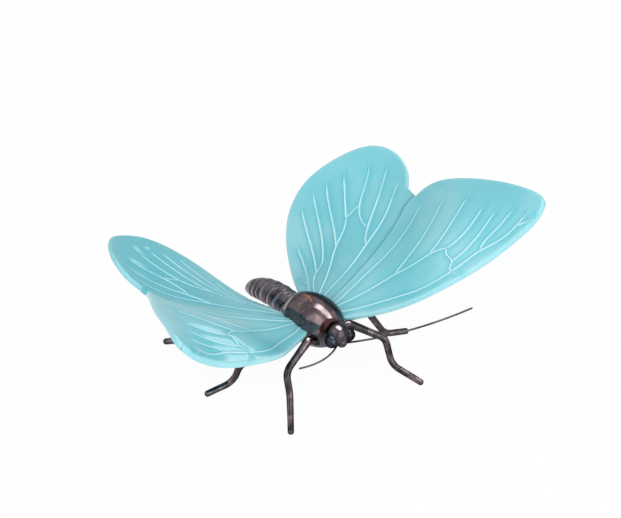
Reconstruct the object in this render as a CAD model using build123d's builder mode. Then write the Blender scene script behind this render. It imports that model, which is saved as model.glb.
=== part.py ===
from build123d import *
import os
from math import cos, sin, radians

# Butterfly ornament: two glazed ceramic wings clamped in a cast metal body on six bent legs.
# Millimetres, +Z up, head towards -Y, origin on the ground under the middle of the outline.

# Body
thorax_height = 24.9
thorax_setback = 6.77
body_angle = 17.0
seat_angle = 10.0
seat_lift = 0.6
dome_radius = 11.0
dome_half_length = 19.0
dome_wall = 2.2
dome_lip_length = 16.0
body_rear_length = 15.5
boss_radius = 2.7
base_radius = 10.0
base_drop = 2.0
base_half_length = 18.5
base_front_length = 14.2
neck_radius = 3.9
neck_drop = 1.6
spigot_radius = 2.2
spigot_length = 2.8
socket_radius = 2.8
socket_depth = 5.0
socket_drop = 2.6

# Fits
fit_clearance = 0.05
seat_clearance = 0.08
rim_gap = 0.5
overrun = 2.0

# Head
head_radius = 5.5
head_forward = 20.0
head_drop = 2.0
head_back_gap = 0.12
eye_radius = 2.75
eye_out = 4.4
eye_forward = 20.8
eye_drop = 2.9
antenna_radius = 0.45
antenna_reach = 42.5
antenna_advance = 41.6
antenna_rise = 16.3
antenna_skew = 2.3
antenna_bow = 2.0
antenna_bow_in = 2.7
antenna_out = 1.5
antenna_forward = 20.3
antenna_drop = 6.2

# Abdomen
abdomen_length = 40.4
abdomen_radius = 6.0
abdomen_arch = 2.2
abdomen_droop = 1.6
ring_count = 8
ring_depth_share = 0.15
ring_lip_share = 0.85
taper_shares = [0.94, 0.99, 1.0, 1.0, 0.98, 0.93, 0.84, 0.70, 0.42]

# Legs
leg_radius = 1.55
foot_flat = 0.3
toe_round_share = 0.85
stance_reach = 50.5
stance_length = 44.2
knee_bend = 6.0
shoulder_bend = 2.2
ankle_bend = 7.0

# Wings
wing_span = 94.0
fore_chord = 44.0
hind_chord = 71.5
wing_thickness = 2.4
wing_camber = 6.0
wing_step = 0.8
margin_round = 0.8
dihedral_angle = 33.0
wing_angle = 3.8
tongue_front = 9.2
tongue_rear = 13.5
tongue_margin = 2.4
tongue_inner = 3.4

# Screw
screw_radius = 1.5
screw_head_radius = 2.75
screw_head_height = 1.8
screw_reach = 5.0
screw_shoulder = 4.2
slot_width = 0.8
slot_depth = 0.9

os.makedirs("parts", exist_ok=True)

# Reference planes. In the body and seat planes x is to the side, y rearwards and z upwards.
thorax = Vector(0, -thorax_setback, thorax_height)


def pitched(origin, angle):
    return Plane(origin, x_dir=(1, 0, 0), z_dir=(0, sin(radians(angle)), cos(radians(angle))))


body = pitched(thorax, body_angle)
seat = pitched(thorax + Vector(0, 0, seat_lift), seat_angle)
profile = Plane(thorax, x_dir=body.y_dir, z_dir=body.x_dir)
body_axis = Axis(thorax, body.y_dir)
belly = body.from_local_coords((0, 0, -base_drop))
belly_profile = Plane(belly, x_dir=body.y_dir, z_dir=body.x_dir)
belly_axis = Axis(belly, body.y_dir)
tongue_half = wing_thickness / 2
dome_seat = seat.offset(tongue_half + seat_clearance)
screw_seat = dome_seat.offset(-screw_shoulder - wing_thickness)
front_cut = Plane(body.from_local_coords((0, -dome_lip_length, 0)), x_dir=body.x_dir, z_dir=-body.y_dir)
base_cut = Plane(body.from_local_coords((0, -base_front_length, 0)), x_dir=body.x_dir, z_dir=-body.y_dir)
rear_cut = Plane(body.from_local_coords((0, body_rear_length, 0)), x_dir=-body.x_dir, z_dir=body.y_dir)


def in_body(out, back, up):
    return body.from_local_coords((out, back, up))


def rod_plane(start, towards):
    return Plane(start, z_dir=towards - start)


# Legs: tenon end and shoulder as shares of the base's radius, half length and radius, then knee,
# ankle and foot as shares of the stance's reach, its length and the thorax height.
tenon_shares = {
    "front": ((0.32, -0.56, -0.54), (1.04, -0.67, -0.28)),
    "mid": ((0.46, 0.03, -0.50), (1.15, 0.03, -0.36)),
    "rear": ((0.44, 0.51, -0.44), (1.04, 0.62, -0.42)),
}
leg_shares = {
    "front_left": ((0.502, -0.42, 0.765), (0.51, -0.50, 0.335), (0.667, -0.80, -0.027)),
    "front_right": ((0.476, -0.465, 0.675), (0.49, -0.565, 0.17), (0.635, -0.87, -0.027)),
    "mid_left": ((0.70, 0.075, 0.45), (0.745, 0.10, 0.09), (1.02, 0.13, -0.006)),
    "mid_right": ((0.566, 0.014, 0.645), (0.71, -0.075, 0.07), (0.935, -0.125, -0.006)),
    "rear": ((0.475, 0.55, 0.52), (0.69, 0.80, 0.16), (0.965, 1.065, -0.011)),
}
hands = {-1: "left", 1: "right"}
foot_height = leg_radius - foot_flat


def leg_points(row, side):
    points = []
    for out, back, up in tenon_shares[row]:
        points.append(in_body(side * out * base_radius, back * base_half_length, up * base_radius))
    for out, back, up in leg_shares.get(row, leg_shares.get(f"{row}_{hands[side]}")):
        height = foot_height + up * (thorax_height - foot_height)
        points.append(Vector(side * out * stance_reach, back * stance_length - thorax_setback, height))
    return points


# Thorax dome: hollow cap, an egg turned about the body axis and cut off on the wing seat.
def egg(length, radius):
    Ellipse(length, radius)
    with Locations((0, -radius)):
        Rectangle(2 * length + overrun, 2 * radius, mode=Mode.SUBTRACT)


with BuildPart() as dome_cavity:
    with BuildSketch(profile):
        egg(body_rear_length - dome_wall, dome_radius - dome_wall)
    revolve(axis=body_axis)
    with BuildSketch(seat):
        Circle(boss_radius)
    extrude(amount=2 * dome_radius, both=True, mode=Mode.SUBTRACT)

with BuildPart() as thorax_dome:
    with BuildSketch(profile):
        egg(dome_half_length, dome_radius)
    revolve(axis=body_axis)
    add(dome_cavity.part, mode=Mode.SUBTRACT)
    split(bisect_by=dome_seat, keep=Keep.TOP)
    split(bisect_by=front_cut, keep=Keep.BOTTOM)
    split(bisect_by=rear_cut, keep=Keep.BOTTOM)
    with BuildSketch(dome_seat):
        Circle(screw_radius + fit_clearance)
    extrude(amount=screw_reach + fit_clearance, mode=Mode.SUBTRACT)
    with BuildSketch(front_cut):
        with Locations((0, -neck_drop)):
            Circle(neck_radius + seat_clearance)
    extrude(amount=base_front_length - dome_lip_length - seat_clearance, mode=Mode.SUBTRACT)
thorax_dome.part.label = "thorax_dome"

# Wing tongue: the flat root of a wing under the dome, and the pocket for it in the base.
def tongue_outline(grow):
    front = -tongue_front - grow
    rear = tongue_rear + grow
    inner = tongue_inner - grow
    width = dome_radius + tongue_margin + overrun
    Ellipse(dome_radius + tongue_margin, dome_half_length + tongue_margin)
    with Locations((inner + width / 2, (front + rear) / 2)):
        Rectangle(width, rear - front, mode=Mode.INTERSECT)


# Thorax base: casting under the dome with the wing pockets, neck, leg sockets and tail socket.
with BuildPart() as thorax_base:
    with BuildSketch(belly_profile):
        egg(base_half_length, base_radius)
    revolve(axis=belly_axis)
    split(bisect_by=dome_seat, keep=Keep.BOTTOM)
    split(bisect_by=base_cut, keep=Keep.BOTTOM)
    split(bisect_by=rear_cut, keep=Keep.BOTTOM)
    with BuildSketch(seat.offset(-tongue_half - seat_clearance)):
        tongue_outline(seat_clearance)
        mirror(about=Plane.YZ)
    extrude(amount=wing_thickness + overrun, mode=Mode.SUBTRACT)
    with BuildSketch(base_cut):
        with Locations((0, -neck_drop)):
            Circle(neck_radius)
    extrude(amount=dome_lip_length - base_front_length)
    with BuildSketch(front_cut):
        with Locations((0, -neck_drop)):
            Circle(spigot_radius)
    extrude(amount=spigot_length)
    with BuildSketch(rear_cut):
        with Locations((0, -socket_drop)):
            Circle(socket_radius + fit_clearance)
    extrude(amount=-socket_depth - fit_clearance, mode=Mode.SUBTRACT)
    for row in tenon_shares:
        for side in (-1, 1):
            tenon, shoulder = leg_points(row, side)[:2]
            with BuildSketch(rod_plane(tenon, shoulder).offset(-fit_clearance)):
                Circle(leg_radius + fit_clearance)
            extrude(amount=base_radius, mode=Mode.SUBTRACT)
    with BuildSketch(dome_seat):
        Circle(screw_radius + fit_clearance)
    extrude(amount=-2 * base_radius, mode=Mode.SUBTRACT)
    with BuildSketch(screw_seat):
        Circle(screw_head_radius + fit_clearance)
    extrude(amount=-2 * base_radius, mode=Mode.SUBTRACT)
thorax_base.part.label = "thorax_base"

# Dome screw: slotted screw from below that clamps the dome over both wing tongues.
with BuildPart() as dome_screw:
    with BuildSketch(screw_seat):
        Circle(screw_radius)
    extrude(amount=screw_shoulder + wing_thickness + screw_reach)
    with BuildSketch(screw_seat):
        Circle(screw_head_radius)
    extrude(amount=-screw_head_height)
    with BuildSketch(screw_seat.offset(-screw_head_height)):
        Rectangle(2 * screw_head_radius + overrun, slot_width)
    extrude(amount=slot_depth, mode=Mode.SUBTRACT)
dome_screw.part.label = "dome_screw"

# Head: ball with a flat back, a socket for the neck, eye seats and antenna holes.
head_center = in_body(0, -head_forward, -head_drop)
head_cut = front_cut.offset(head_back_gap)


def eye_center(side):
    return in_body(side * eye_out, -eye_forward, -eye_drop)


def antenna_path(side):
    root = Vector(side * antenna_out, -antenna_forward, -antenna_drop)
    outward = side * (antenna_reach - antenna_out)
    tip = root + Vector(outward, -antenna_advance, antenna_rise - side * antenna_skew)
    middle = (root + tip) / 2 + Vector(-side * antenna_bow_in, 0, -antenna_bow)
    return ThreePointArc(*[body.from_local_coords(point) for point in (root, middle, tip)])


with BuildPart() as head:
    with Locations(Plane(head_center, x_dir=body.y_dir, z_dir=body.z_dir)):
        Sphere(head_radius)
    split(bisect_by=head_cut, keep=Keep.TOP)
    with BuildSketch(head_cut):
        with Locations((0, -neck_drop)):
            Circle(spigot_radius + fit_clearance)
    extrude(amount=spigot_length, mode=Mode.SUBTRACT)
    with Locations(eye_center(-1), eye_center(1)):
        Sphere(eye_radius + fit_clearance, mode=Mode.SUBTRACT)
    for side in (-1, 1):
        with BuildLine() as feeler:
            antenna_path(side)
        with BuildSketch(Plane(feeler.line @ 0, z_dir=feeler.line % 0).offset(-fit_clearance)):
            Circle(antenna_radius + fit_clearance)
        extrude(amount=head_radius, mode=Mode.SUBTRACT)
head.part.label = "head"

# Abdomen: ring-ridged tail on a gentle arch, with a spigot into the base.
tail_start = in_body(0, body_rear_length - overrun, 0)
tail_middle = in_body(0, body_rear_length + abdomen_length / 2, abdomen_arch)
tail_end = in_body(0, body_rear_length + abdomen_length, -abdomen_droop)
tail_line = Edge.make_three_point_arc(tail_start, tail_middle, tail_end)


def taper(place):
    spot = place * (len(taper_shares) - 1)
    index = min(int(spot), len(taper_shares) - 2)
    blend = spot - index
    return abdomen_radius * (taper_shares[index] * (1 - blend) + taper_shares[index + 1] * blend)


with BuildPart() as abdomen:
    for ring in range(ring_count):
        for place, lip in ((0, 0), (ring_lip_share, 1)):
            along = (ring + place) / ring_count
            with BuildSketch(Plane(tail_line @ along, x_dir=(1, 0, 0), z_dir=tail_line % along)):
                Circle(taper(along) * (1 - ring_depth_share * (1 - lip)))
    with BuildSketch(Plane(tail_line @ 1, x_dir=(1, 0, 0), z_dir=tail_line % 1)):
        Circle(taper(1) * (1 - ring_depth_share))
    loft(ruled=True)
    split(bisect_by=rear_cut.offset(seat_clearance), keep=Keep.TOP)
    with BuildSketch(rear_cut.offset(seat_clearance + overrun)):
        with Locations((0, -socket_drop)):
            Circle(socket_radius)
    extrude(amount=-socket_depth - overrun)
abdomen.part.label = "abdomen"

# Wings: a curved ceramic sheet lofted through chordwise sections, with the forewing as a raised layer.
span_dir = Vector(1, 0, 0).rotate(Axis.Y, -dihedral_angle)
wing_normal = Vector(0, 0, 1).rotate(Axis.X, -wing_angle).rotate(Axis.Y, -dihedral_angle)
wing = Plane(seat.from_local_coords((dome_radius, 0, 0)), x_dir=span_dir, z_dir=wing_normal)
station_shares = [-0.1, 0.13, 0.32, 0.53, 0.74, 1.04]
chord_shares = [-0.45, -0.27, -0.1, 0.1, 0.29, 0.48, 0.69]
camber_shares = [
    [0.95, 0.90, 1.0, 0.15, -0.20, 0.40, 0.25],
    [-1.05, -0.70, -0.35, -0.10, -0.65, -0.45, 0.20],
    [-1.65, -0.70, -0.45, -0.60, -0.70, -0.40, 0.60],
    [-1.80, -0.75, -0.15, -0.90, -1.10, -0.35, 0.80],
    [-1.60, -0.60, 0.0, -0.40, -0.50, 0.55, 1.40],
    [0.10, 0.55, 1.05, 0.60, 0.65, 1.30, 2.05],
]
wing_chord = fore_chord + hind_chord


def sheet_sections(bottom, top):
    """Chordwise sections of a curved sheet, between two levels measured from the wing's upper surface."""
    sections = []
    for station, cambers in zip(station_shares, camber_shares):
        origin = wing.from_local_coords((station * wing_span, 0, 0))
        curve = [(chord * wing_chord, camber * wing_camber) for chord, camber in zip(chord_shares, cambers)]
        with BuildSketch(Plane(origin, x_dir=wing.y_dir, z_dir=wing.x_dir)) as section:
            with BuildLine():
                upper = Spline(*[(x, y + top) for x, y in curve])
                lower = Spline(*[(x, y + bottom) for x, y in curve])
                Line(upper @ 0, lower @ 0)
                Line(upper @ 1, lower @ 1)
            make_face()
        sections.append(section.sketch)
    return sections


# Margin of the wing, as shares of the span and, ahead and behind, of the two chords.
fore_shares = [(0.005, -0.25), (0.092, -0.355), (0.29, -0.63), (0.54, -0.815), (0.81, -0.955),
               (0.945, -1.01), (0.99, -0.985), (0.988, -0.735), (0.932, -0.375), (0.816, 0.07),
               (0.705, 0.237), (0.648, 0.262)]
hind_shares = [(0.662, 0.39), (0.741, 0.66), (0.706, 0.762), (0.538, 0.936), (0.366, 0.99), (0.207, 0.934),
               (0.033, 0.688), (-0.046, 0.45), (-0.065, 0.34)]
step_shares = [(-0.06, 0.045), (0.18, 0.095), (0.36, 0.128), (0.53, 0.203), (0.65, 0.27)]


def on_wing(shares):
    return [(x * wing_span, y * (fore_chord if y < 0 else hind_chord)) for x, y in shares]


with BuildPart() as fore_layer:
    loft(sheet_sections(-wing_thickness / 2, wing_step))
    with BuildSketch(wing.offset(-wing_span)):
        with BuildLine():
            rear_edge = Spline(*on_wing(step_shares))
            ahead = -2 * fore_chord
            Polyline(rear_edge @ 1, (2 * wing_span, (rear_edge @ 1).Y), (2 * wing_span, ahead),
                     (-wing_span, ahead), (-wing_span, (rear_edge @ 0).Y), rear_edge @ 0)
        make_face()
    extrude(amount=2 * wing_span, mode=Mode.INTERSECT)

with BuildPart() as wing_right:
    loft(sheet_sections(-wing_thickness, 0))
    add(fore_layer.part)
    with BuildSketch(wing.offset(-wing_span)):
        with BuildLine():
            fore = Spline(*on_wing(fore_shares))
            hind = Spline(*on_wing(hind_shares))
            Line(fore @ 1, hind @ 0)
            Line(hind @ 1, fore @ 0)
        make_face()
    extrude(amount=2 * wing_span, mode=Mode.INTERSECT)
    margins = wing_right.faces().filter_by(GeomType.EXTRUSION).sort_by(SortBy.AREA)[-2:]
    fillet([edge for face in margins for edge in face.edges() if edge.length > fore_chord], margin_round)
    with BuildSketch(seat.offset(-dome_radius)):
        Ellipse(dome_radius + rim_gap, dome_half_length + rim_gap)
    extrude(amount=2 * dome_radius, mode=Mode.SUBTRACT)
    with BuildSketch(seat.offset(-tongue_half)):
        tongue_outline(0)
    extrude(amount=wing_thickness)
wing_right.part.label = "wing_right"

with BuildPart() as wing_left:
    mirror(wing_right.part, about=Plane.YZ)
wing_left.part.label = "wing_left"

# Legs: one bent rod each, a tenon in the base and a flat under the foot.
legs = {}
for row in tenon_shares:
    for side, hand in hands.items():
        with BuildPart() as leg:
            with BuildLine() as bends:
                FilletPolyline(*leg_points(row, side), radius=[shoulder_bend, knee_bend, ankle_bend])
            with BuildSketch(Plane(bends.line @ 0, z_dir=bends.line % 0)):
                Circle(leg_radius)
            sweep()
            toe = leg.edges().filter_by(GeomType.CIRCLE).sort_by_distance(bends.line @ 1)[0]
            fillet(toe, toe_round_share * leg_radius)
            split(bisect_by=Plane.XY, keep=Keep.TOP)
        leg.part.label = f"leg_{row}_{hand}"
        legs[leg.part.label] = leg.part

# Antennae and eyes
small = {}
for side, hand in hands.items():
    with BuildPart() as antenna:
        with BuildLine() as feeler:
            antenna_path(side)
        with BuildSketch(Plane(feeler.line @ 0, z_dir=feeler.line % 0)):
            Circle(antenna_radius)
        sweep()
    antenna.part.label = f"antenna_{hand}"
    small[antenna.part.label] = antenna.part
    with BuildPart() as eye:
        with Locations(eye_center(side)):
            Sphere(eye_radius)
    eye.part.label = f"eye_{hand}"
    small[eye.part.label] = eye.part

pieces = [thorax_dome.part, thorax_base.part, dome_screw.part, head.part, abdomen.part]
pieces += [wing_right.part, wing_left.part]
for piece in pieces + list(legs.values()) + list(small.values()):
    export_step(piece, f"parts/{piece.label}.step")
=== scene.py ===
# %% [markdown]
# # A butterfly with glazed wings
# The ornament has a dark cast metal body, six bent rod legs, two wire feelers and a pair of
# turquoise glazed ceramic wings with raised veins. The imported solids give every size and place.
# Here each visible piece is modelled again, finer, in the same place, and given its finish.

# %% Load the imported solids
import math
import bmesh
import bpy
import numpy as np
from mathutils import Matrix, Vector


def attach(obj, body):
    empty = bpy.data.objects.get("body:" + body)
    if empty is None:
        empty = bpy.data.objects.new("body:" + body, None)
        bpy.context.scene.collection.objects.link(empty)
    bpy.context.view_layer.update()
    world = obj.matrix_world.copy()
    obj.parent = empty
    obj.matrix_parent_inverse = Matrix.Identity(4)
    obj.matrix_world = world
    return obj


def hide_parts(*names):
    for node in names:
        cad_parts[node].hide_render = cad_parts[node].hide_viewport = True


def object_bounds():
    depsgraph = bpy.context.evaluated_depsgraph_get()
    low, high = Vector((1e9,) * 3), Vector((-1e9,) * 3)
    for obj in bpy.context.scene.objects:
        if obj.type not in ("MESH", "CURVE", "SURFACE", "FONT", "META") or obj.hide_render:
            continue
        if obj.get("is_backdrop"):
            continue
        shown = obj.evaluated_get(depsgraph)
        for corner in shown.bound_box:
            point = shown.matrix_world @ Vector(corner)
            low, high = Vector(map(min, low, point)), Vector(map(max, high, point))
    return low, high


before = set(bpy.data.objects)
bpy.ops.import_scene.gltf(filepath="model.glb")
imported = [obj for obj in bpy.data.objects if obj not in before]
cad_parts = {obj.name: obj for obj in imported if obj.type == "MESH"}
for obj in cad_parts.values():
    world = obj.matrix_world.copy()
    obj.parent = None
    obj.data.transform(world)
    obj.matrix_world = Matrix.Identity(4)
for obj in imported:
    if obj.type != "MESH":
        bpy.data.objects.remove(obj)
solid_low, solid_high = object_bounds()
print("solids", sorted(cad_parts), "box", tuple(solid_low), tuple(solid_high))

# %% [markdown]
# ## Frames
# Everything is worked out in millimetres and scaled to metres at the end. The body is tipped
# nose-up, so a small helper turns "out, back, up" along the body into the ornament's own axes,
# and another one turns a place on the ornament back into body terms.

# %% Body frame
MM = 0.001
WELD = 0.0005
thorax = np.array([0.0, -6.77, 24.9])
body_tilt = math.radians(17.0)
seat_tilt = math.radians(10.0)
seat_lift = 0.6


def tilted(angle):
    back = np.array([0.0, math.cos(angle), -math.sin(angle)])
    up = np.array([0.0, math.sin(angle), math.cos(angle)])
    return np.array([1.0, 0.0, 0.0]), back, up


body_out, body_back, body_up = tilted(body_tilt)


def in_body(out, back, up):
    return thorax + out * body_out + back * body_back + up * body_up


def from_body(spot):
    offset = np.array(spot) - thorax
    return np.array([offset @ body_out, offset @ body_back, offset @ body_up])


print("thorax at", thorax, "nose up", math.degrees(body_tilt))

# %% [markdown]
# ## Making a piece
# A finished piece is a mesh at the origin, with its place in its vertices, so that patterns on
# Object coordinates stay put. One helper merges doubles, turns the faces outwards, scales the
# bmesh to metres, hangs the piece on the root and hides the imported node that it stands for.

# %% Finish a piece
def finish_piece(bm, name, material, node):
    bmesh.ops.remove_doubles(bm, verts=bm.verts, dist=WELD)
    bmesh.ops.recalc_face_normals(bm, faces=bm.faces)
    bmesh.ops.scale(bm, vec=(MM, MM, MM), verts=bm.verts)
    for face in bm.faces:
        face.smooth = True
    mesh = bpy.data.meshes.new(name)
    bm.to_mesh(mesh)
    bm.free()
    piece = bpy.data.objects.new(name, mesh)
    bpy.context.scene.collection.objects.link(piece)
    mesh.materials.append(material)
    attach(piece, "root")
    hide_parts(node)
    print(name, len(mesh.polygons), "faces")


print("a piece is welded at", WELD, "mm")

# %% [markdown]
# ## Painting marks
# Wear and oxide lie where hands and tools have been, not at random. Some marks here are painted
# light instead: painted highlights and a painted dark reflection. A mark is a value on each vertex,
# worked out from its place in body terms, and it fades softly at its edge, as a rubbed patch does.
# The finishes read the marks later.

# %% Paint marks on a piece
def soft(value, low, high):
    share = min(max((value - low) / (high - low), 0.0), 1.0)
    return share * share * (3 - 2 * share)


def near_line(spot, line):
    best = 1e9
    for start, end in zip(line, line[1:]):
        start, end = np.array(start), np.array(end)
        edge = end - start
        share = min(max((spot - start) @ edge / (edge @ edge), 0.0), 1.0)
        best = min(best, float(np.linalg.norm(spot - start - share * edge)))
    return best


def paint(bm, marks):
    for name, rule in marks.items():
        layer = bm.verts.layers.float.new(name)
        for vert in bm.verts:
            vert[layer] = rule(from_body(vert.co))


print("halfway up a soft edge", soft(0.5, 0.0, 1.0))

# %% [markdown]
# ## Smooth curves
# Outlines, veins and bent rods all start as a few chosen points. A cubic curve through the points
# gives the rest. It is worked out here once, for curves and for the wing's own curved sheet. A
# wire that is bent once round a former is a plain arc, so there is a helper for that as well.

# %% Cubic and arc through points
def cubic(knots, values, at):
    knots = np.asarray(knots, float)
    values = np.asarray(values, float)
    at = np.asarray(at, float)
    count = len(knots)
    if count == 2:
        share = (at - knots[0]) / (knots[1] - knots[0])
        return values[0] + np.multiply.outer(share, values[1] - values[0])
    gap = np.diff(knots)
    slope = np.diff(values, axis=0) / gap.reshape(-1, *([1] * (values.ndim - 1)))
    bend = np.zeros((count, count))
    right = np.zeros(values.shape)
    for i in range(1, count - 1):
        bend[i, i - 1:i + 2] = gap[i - 1], 2 * (gap[i - 1] + gap[i]), gap[i]
        right[i] = 6 * (slope[i] - slope[i - 1])
    if count == 3:
        bend[0, :2] = 1, -1
        bend[2, 1:] = 1, -1
    else:
        bend[0, :3] = gap[1], -(gap[0] + gap[1]), gap[0]
        bend[-1, -3:] = gap[-1], -(gap[-2] + gap[-1]), gap[-2]
    curve = np.linalg.solve(bend, right.reshape(count, -1)).reshape(values.shape)
    i = np.clip(np.searchsorted(knots, at) - 1, 0, count - 2)
    shape = (-1,) + (1,) * (values.ndim - 1)
    h = gap[i].reshape(shape)
    a = ((knots[i + 1] - at).reshape(shape)) / h
    b = ((at - knots[i]).reshape(shape)) / h
    return (a * values[i] + b * values[i + 1]
            + ((a ** 3 - a) * curve[i] + (b ** 3 - b) * curve[i + 1]) * h ** 2 / 6)


def chords(points):
    points = np.asarray(points, float)
    return np.concatenate([[0], np.cumsum(np.linalg.norm(np.diff(points, axis=0), axis=1))])


def through(points, count):
    along = chords(points)
    return cubic(along, points, np.linspace(0, 1, count) * along[-1])


def arc(first, middle, last, count):
    u, v = middle - first, last - first
    w = np.cross(u, v)
    centre = first + np.cross((u @ u) * v - (v @ v) * u, w) / (2 * (w @ w))
    size = np.linalg.norm(first - centre)
    ahead = (first - centre) / size
    aside = np.cross(w / np.linalg.norm(w), ahead)
    turn = math.atan2((last - centre) @ aside, (last - centre) @ ahead) % (2 * math.pi)
    angles = np.linspace(0, turn, count)[:, None]
    return centre + size * (np.cos(angles) * ahead + np.sin(angles) * aside)


print("halfway on a bent line", through([(0, 0), (1, 1), (2, 0)], 3)[1])

# %% [markdown]
# ## Rods
# Legs, feelers and the tail are all round bars along a line. A flat grid is rolled up around the
# line: one way along it, one way around it. Its ends draw in to a point, which rounds them off.
# This is quicker to control than a curve's bevel, because each ring has its own size.

# %% Roll a grid into a rod
def ring_frames(path):
    tangent = np.gradient(path, axis=0)
    tangent /= np.linalg.norm(tangent, axis=1)[:, None]
    side = np.zeros_like(path)
    first = np.cross(tangent[0], [0.0, 0.0, 1.0])
    side[0] = first / np.linalg.norm(first)
    for i in range(1, len(path)):
        turned = side[i - 1] - tangent[i] * np.dot(side[i - 1], tangent[i])
        side[i] = turned / np.linalg.norm(turned)
    return side, np.cross(side, tangent)


def grid_place(vert, rows, columns):
    return int(round((vert.co.x + 0.5) * rows)), int(round((vert.co.y + 0.5) * columns))


def rolled_rod(bm, path, radii, sides, wobble=None, marks=None):
    side, top = ring_frames(path)
    layers = {name: bm.verts.layers.float.new(name) for name in (marks or {})}
    made = bmesh.ops.create_grid(bm, x_segments=len(path) - 1, y_segments=sides, size=0.5)
    for vert in made["verts"]:
        ring, turn = grid_place(vert, len(path) - 1, sides)
        angle = 2 * math.pi * (turn % sides) / sides
        reach = radii[ring]
        if wobble is not None:
            reach = reach * wobble(ring, angle)
        spot = path[ring] + reach * (math.cos(angle) * side[ring] + math.sin(angle) * top[ring])
        vert.co = spot.tolist()
        for name, layer in layers.items():
            vert[layer] = marks[name](ring, angle)
    bmesh.ops.remove_doubles(bm, verts=made["verts"], dist=WELD)


print("rod helper ready")

# %% [markdown]
# ## Shader helpers
# A patina or a glaze is layers of tone: a base, patches from noise, and marks on top. Short helpers
# add one node each, so that a finish reads as a list of its layers.

# %% Shader helpers
def new_group(name, inputs, outputs):
    group = bpy.data.node_groups.new(name, "ShaderNodeTree")
    for label, kind, value in inputs:
        socket = group.interface.new_socket(name=label, in_out="INPUT", socket_type=kind)
        if value is not None:
            socket.default_value = value
    for label, kind in outputs:
        group.interface.new_socket(name=label, in_out="OUTPUT", socket_type=kind)
    return group, group.nodes.new("NodeGroupInput"), group.nodes.new("NodeGroupOutput")


def noise(tree, vector, scale, detail=3.0, rough=0.55):
    node = tree.nodes.new("ShaderNodeTexNoise")
    node.inputs["Scale"].default_value = scale
    node.inputs["Detail"].default_value = detail
    node.inputs["Roughness"].default_value = rough
    tree.links.new(vector, node.inputs["Vector"])
    return node.outputs["Fac"]


def ramp(tree, value, low, high):
    node = tree.nodes.new("ShaderNodeMapRange")
    node.interpolation_type = "SMOOTHSTEP"
    node.inputs["From Min"].default_value = low
    node.inputs["From Max"].default_value = high
    tree.links.new(value, node.inputs["Value"])
    return node.outputs["Result"]


def feed(tree, socket, value):
    if isinstance(value, (int, float, tuple)):
        socket.default_value = value
    else:
        tree.links.new(value, socket)


def maths(tree, operation, first, second):
    node = tree.nodes.new("ShaderNodeMath")
    node.operation = operation
    feed(tree, node.inputs[0], first)
    feed(tree, node.inputs[1], second)
    return node.outputs["Value"]


def blend(tree, mask, first, second):
    node = tree.nodes.new("ShaderNodeMix")
    node.data_type = "RGBA"
    for index, value in ((0, mask), (6, first), (7, second)):
        feed(tree, node.inputs[index], value)
    return node.outputs[2]


def new_material(name):
    material = bpy.data.materials.new(name)
    material.use_nodes = True
    return material, material.node_tree, material.node_tree.nodes["Principled BSDF"]


def mark(tree, name):
    node = tree.nodes.new("ShaderNodeAttribute")
    node.attribute_name = name
    return node.outputs["Fac"]


def srgb(red, green, blue):
    def linear(part):
        part /= 255.0
        return part / 12.92 if part <= 0.04045 else ((part + 0.055) / 1.055) ** 2.4
    return (linear(red), linear(green), linear(blue), 1.0)


print("mid grey is", round(srgb(128, 128, 128)[0], 3), "of full light")

# %% [markdown]
# ## Patina, shared by every metal piece
# The metal is dark, with a warm brown bloom, near-black patches and small worn flecks. A foundry
# brings these out with heat and acid. One node group makes them from noise on Object coordinates,
# and every metal finish uses it with its own values. A painted picture would not follow a new shape.

# %% Patina node group
patina, patina_in, patina_out = new_group(
    "patina",
    [("Vector", "NodeSocketVector", None), ("Body Colour", "NodeSocketColor", srgb(96, 84, 82)),
     ("Dark Colour", "NodeSocketColor", srgb(38, 40, 42)),
     ("Bloom Colour", "NodeSocketColor", srgb(132, 100, 92)), ("Roughness", "NodeSocketFloat", 0.25)],
    [("Colour", "NodeSocketColor"), ("Roughness", "NodeSocketFloat"), ("Height", "NodeSocketFloat")])
spot_in = patina_in.outputs["Vector"]
broad = noise(patina, spot_in, 130.0, 4.0)
fine = noise(patina, spot_in, 900.0, 4.0, 0.6)
patches = ramp(patina, broad, 0.40, 0.62)
bloom = ramp(patina, noise(patina, spot_in, 260.0, 5.0, 0.65), 0.50, 0.72)
mixed = blend(patina, patches, patina_in.outputs["Dark Colour"], patina_in.outputs["Body Colour"])
mixed = blend(patina, bloom, mixed, patina_in.outputs["Bloom Colour"])
patina.links.new(mixed, patina_out.inputs["Colour"])
spread = maths(patina, "MULTIPLY", maths(patina, "SUBTRACT", fine, 0.5), 0.22)
uneven_gloss = maths(patina, "ADD", patina_in.outputs["Roughness"], spread)
patina.links.new(uneven_gloss, patina_out.inputs["Roughness"])
patina.links.new(fine, patina_out.inputs["Height"])
print("patina group with", len(patina.nodes), "nodes")

# %% [markdown]
# ## Metal finishes
# The dome, legs and eyes are polished, the head is a little duller, the tail is satin and the base
# is left rough. The base is also paler than the body, partly as painted light for the shade it sits
# in under the dome. All are full metals, so their colour is the colour of their reflections, and a
# dark edge tint keeps the white surround off their outlines. Where the real piece is worn, on a rim,
# a ridge or the crown, a mark on the mesh's own vertices lets a paler or a copper tone show through.
# Some marks are painted light: a pale spot on the head's crown is a painted highlight, the dome's
# pale rear is partly one, and a dark band on the dome is a painted reflection.

# %% Metal materials
relief_depth = 0.0002


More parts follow.
